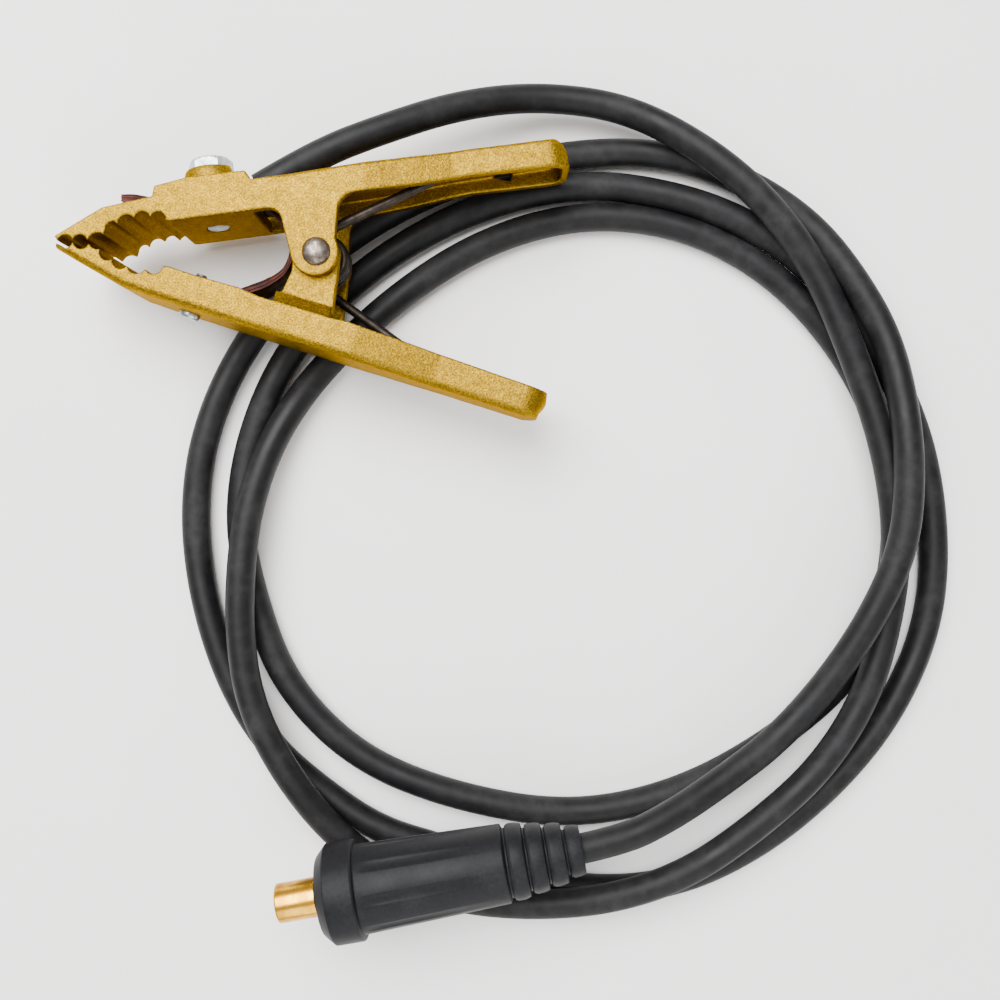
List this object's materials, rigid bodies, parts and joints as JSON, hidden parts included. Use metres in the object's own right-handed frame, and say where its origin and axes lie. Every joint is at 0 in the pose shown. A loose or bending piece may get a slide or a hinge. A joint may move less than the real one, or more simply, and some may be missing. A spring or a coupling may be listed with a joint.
{
  "type": "ground clamp",
  "caption": "Spring-jaw welding earth clamp in cast metal with a bonding strap, on a loosely coiled rubber cable that ends in a bayonet plug.",
  "frame": {"origin": "middle of the clamp's own box, at the middle of its width", "axes": "+X from the jaws to the handles, +Y towards the handle that carries the cable, +Z along the pivot rivet, upwards as the clamp lies on its cable"},
  "size_m": [0.3121, 0.2993, 0.0473],
  "materials": {
    "cast_brass": "sand-cast brass, matte and finely grained, with smoother worn edges",
    "turned_brass": "machined brass, satin",
    "copper": "dull copper sheet and strands",
    "zinc_steel": "zinc-plated steel",
    "rivet_steel": "dull plain steel",
    "spring_steel": "dark blued spring wire",
    "cable_rubber": "black rubber sheath, matte with dusty rub marks",
    "plug_rubber": "moulded black rubber, satin matte"
  },
  "bodies": {
    "upper_half": {"upper_jaw": "cast_brass", "pivot_rivet": "rivet_steel", "spring_bush": "turned_brass", "torsion_spring": "spring_steel", "cable_bolt": "zinc_steel", "spring_washer": "zinc_steel", "clamp_saddle": "cast_brass", "cable_lug": "copper", "clamp_conductor": "copper", "bonding_strap": "copper", "welding_cable": "cable_rubber", "plug_sleeve": "plug_rubber", "contact_pin": "turned_brass", "plug_ferrule": "copper", "plug_conductor": "copper", "plug_set_screws": "zinc_steel", "plug_retaining_pin": "rivet_steel"},
    "lower_half": {"lower_jaw": "cast_brass", "strap_screw": "zinc_steel", "strap_washer": "zinc_steel", "strap_nut": "zinc_steel"}
  },
  "joints": [
    {"name": "jaw_hinge", "type": "hinge", "parent": "upper_half", "child": "lower_half", "pos_m": [0.00245, 0.0008, 0], "axis": [0, 0, 1], "range_deg": [0, 32], "stiffness_Nm_per_rad": 0.8, "springref_deg": -28.65, "deforming": ["torsion_spring", "bonding_strap"]}
  ]
}
